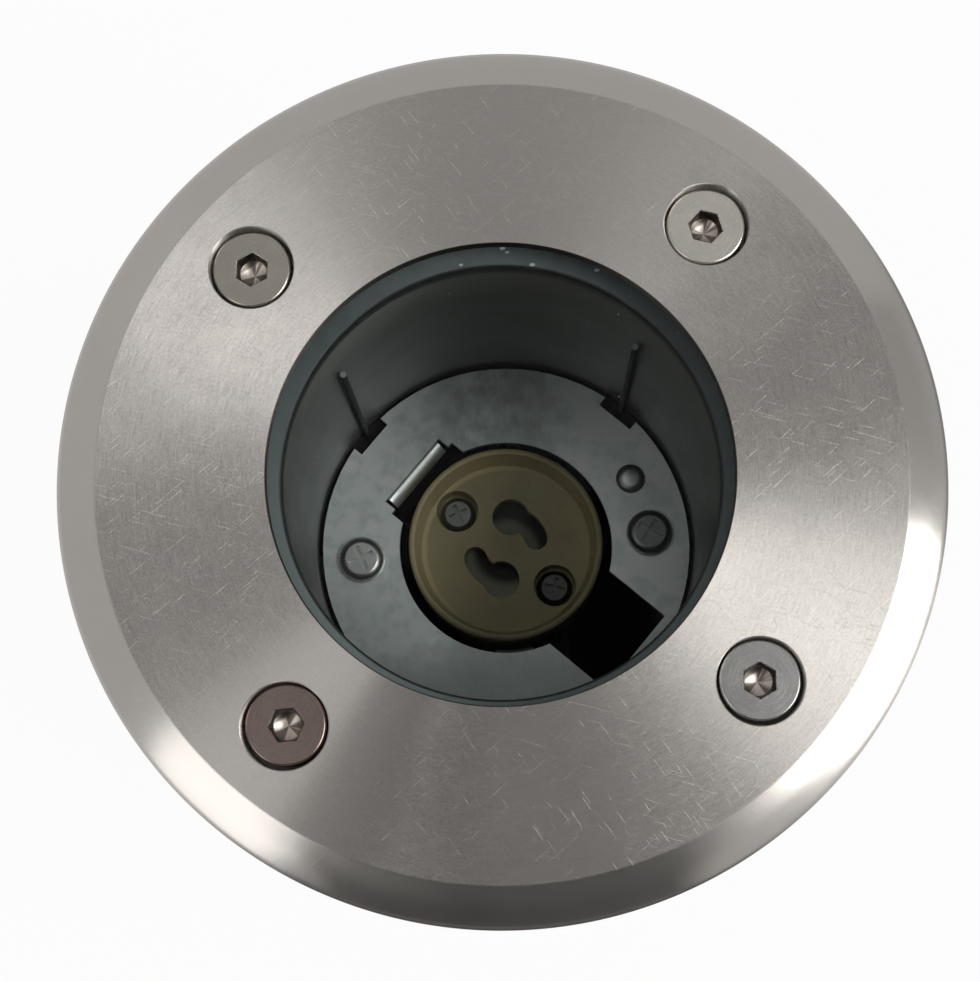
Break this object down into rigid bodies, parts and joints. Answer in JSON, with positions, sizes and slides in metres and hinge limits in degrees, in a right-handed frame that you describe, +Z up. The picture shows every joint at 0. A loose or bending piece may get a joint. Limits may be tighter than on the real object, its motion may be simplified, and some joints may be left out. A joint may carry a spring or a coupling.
{
  "type": "recessed ground spotlight",
  "caption": "Round recessed ground spotlight: steel face ring with hex-socket screws, glass window, cast lamp housing, ceramic twist-lock lampholder, cable gland and ground sleeve.",
  "frame": {"origin": "centre of the sleeve's foot, on the level it stands on", "axes": "+Z is up, out of the light's face; +X points to the lampholder bracket's rivet side, between two of the face screws; the gland is towards -Y"},
  "size_m": [0.11, 0.11, 0.1454],
  "materials": {
    "brushed_stainless": "fine concentric brushing with light scratches",
    "polished_stainless": "turned and lightly polished",
    "clear_glass": "clear toughened glass",
    "grey_silicone": "smooth blue-grey silicone",
    "white_nylon": "plain nylon",
    "dark_casting": "dark satin coating on die-cast aluminium",
    "zinc_plate": "zinc plate, slightly mottled",
    "dark_steel": "oiled spring steel",
    "khaki_ceramic": "unglazed steatite, brown",
    "nickel_strip": "nickel-plated bronze strip",
    "brass": "turned brass",
    "brown_sheath": "silicone sleeving",
    "blue_sheath": "silicone sleeving",
    "green_sheath": "silicone sleeving",
    "black_nylon": "moulded nylon",
    "black_rubber": "moulded rubber",
    "black_plastic": "moulded polypropylene"
  },
  "bodies": {
    "sleeve": {"ground_sleeve": "black_plastic"},
    "luminaire": {"housing": "dark_casting", "lampholder_bracket": "zinc_plate", "bracket_screw_1": "zinc_plate", "bracket_screw_2": "zinc_plate", "earth_rivet": "zinc_plate", "lampholder_screw_1": "zinc_plate", "lampholder_screw_2": "zinc_plate", "lampholder_nut_1": "zinc_plate", "lampholder_nut_2": "zinc_plate", "terminal_fixing_screw_1": "zinc_plate", "terminal_fixing_screw_2": "zinc_plate", "steady_wire_1": "dark_steel", "steady_wire_2": "dark_steel", "lampholder_body": "khaki_ceramic", "lampholder_cap": "khaki_ceramic", "contact_live": "nickel_strip", "contact_neutral": "nickel_strip", "earth_lug": "brass", "terminal_clamp_1": "brass", "terminal_clamp_2": "brass", "terminal_clamp_3": "brass", "terminal_screw_1": "brass", "terminal_screw_2": "brass", "terminal_screw_3": "brass", "terminal_screw_4": "brass", "terminal_screw_5": "brass", "terminal_screw_6": "brass", "live_lead": "brown_sheath", "neutral_lead": "blue_sheath", "earth_lead": "green_sheath", "gland_body": "black_nylon", "gland_locknut": "black_nylon", "gland_oring": "black_rubber", "gland_insert": "black_rubber", "terminal_block": "black_plastic"},
    "front": {"front_ring": "brushed_stainless", "window_glass": "clear_glass", "glass_gasket": "grey_silicone"},
    "gland_nut": {"gland_nut": "black_nylon"},
    "washer_1": {"face_screw_washer_1": "white_nylon"},
    "screw_1": {"face_screw_1": "polished_stainless"},
    "washer_2": {"face_screw_washer_2": "white_nylon"},
    "screw_2": {"face_screw_2": "polished_stainless"},
    "washer_3": {"face_screw_washer_3": "white_nylon"},
    "screw_3": {"face_screw_3": "polished_stainless"},
    "washer_4": {"face_screw_washer_4": "white_nylon"},
    "screw_4": {"face_screw_4": "polished_stainless"}
  },
  "joints": [
    {"name": "luminaire_lift", "type": "slide", "parent": "sleeve", "child": "luminaire", "axis": [0, 0, 1], "range_m": [0, 0.14]},
    {"name": "front_lift", "type": "slide", "parent": "luminaire", "child": "front", "axis": [0, 0, 1], "range_m": [0, 0.06]},
    {"name": "gland_nut_turn", "type": "hinge", "parent": "luminaire", "child": "gland_nut", "pos_m": [0, -0.0125, 0.0245], "axis": [0, 0, -1], "range_deg": [0, 1080]},
    {"name": "face_screw_1_rise", "type": "slide", "parent": "front", "child": "washer_1", "axis": [0, 0, 1], "range_m": [0, 0.016]},
    {"name": "face_screw_1_turn", "type": "hinge", "parent": "washer_1", "child": "screw_1", "pos_m": [0.02857, 0.02857, 0.1409], "axis": [0, 0, 1], "range_deg": [0, 5760]},
    {"name": "face_screw_2_rise", "type": "slide", "parent": "front", "child": "washer_2", "axis": [0, 0, 1], "range_m": [0, 0.016]},
    {"name": "face_screw_2_turn", "type": "hinge", "parent": "washer_2", "child": "screw_2", "pos_m": [-0.02857, 0.02857, 0.1409], "axis": [0, 0, 1], "range_deg": [0, 5760]},
    {"name": "face_screw_3_rise", "type": "slide", "parent": "front", "child": "washer_3", "axis": [0, 0, 1], "range_m": [0, 0.016]},
    {"name": "face_screw_3_turn", "type": "hinge", "parent": "washer_3", "child": "screw_3", "pos_m": [-0.02857, -0.02857, 0.1409], "axis": [0, 0, 1], "range_deg": [0, 5760]},
    {"name": "face_screw_4_rise", "type": "slide", "parent": "front", "child": "washer_4", "axis": [0, 0, 1], "range_m": [0, 0.016]},
    {"name": "face_screw_4_turn", "type": "hinge", "parent": "washer_4", "child": "screw_4", "pos_m": [0.02857, -0.02857, 0.1409], "axis": [0, 0, 1], "range_deg": [0, 5760]}
  ],
  "couplings": [
    {"joint": "face_screw_1_turn", "follows": "face_screw_1_rise", "rad_per_m": 6283.2},
    {"joint": "face_screw_2_turn", "follows": "face_screw_2_rise", "rad_per_m": 6283.2},
    {"joint": "face_screw_3_turn", "follows": "face_screw_3_rise", "rad_per_m": 6283.2},
    {"joint": "face_screw_4_turn", "follows": "face_screw_4_rise", "rad_per_m": 6283.2}
  ]
}
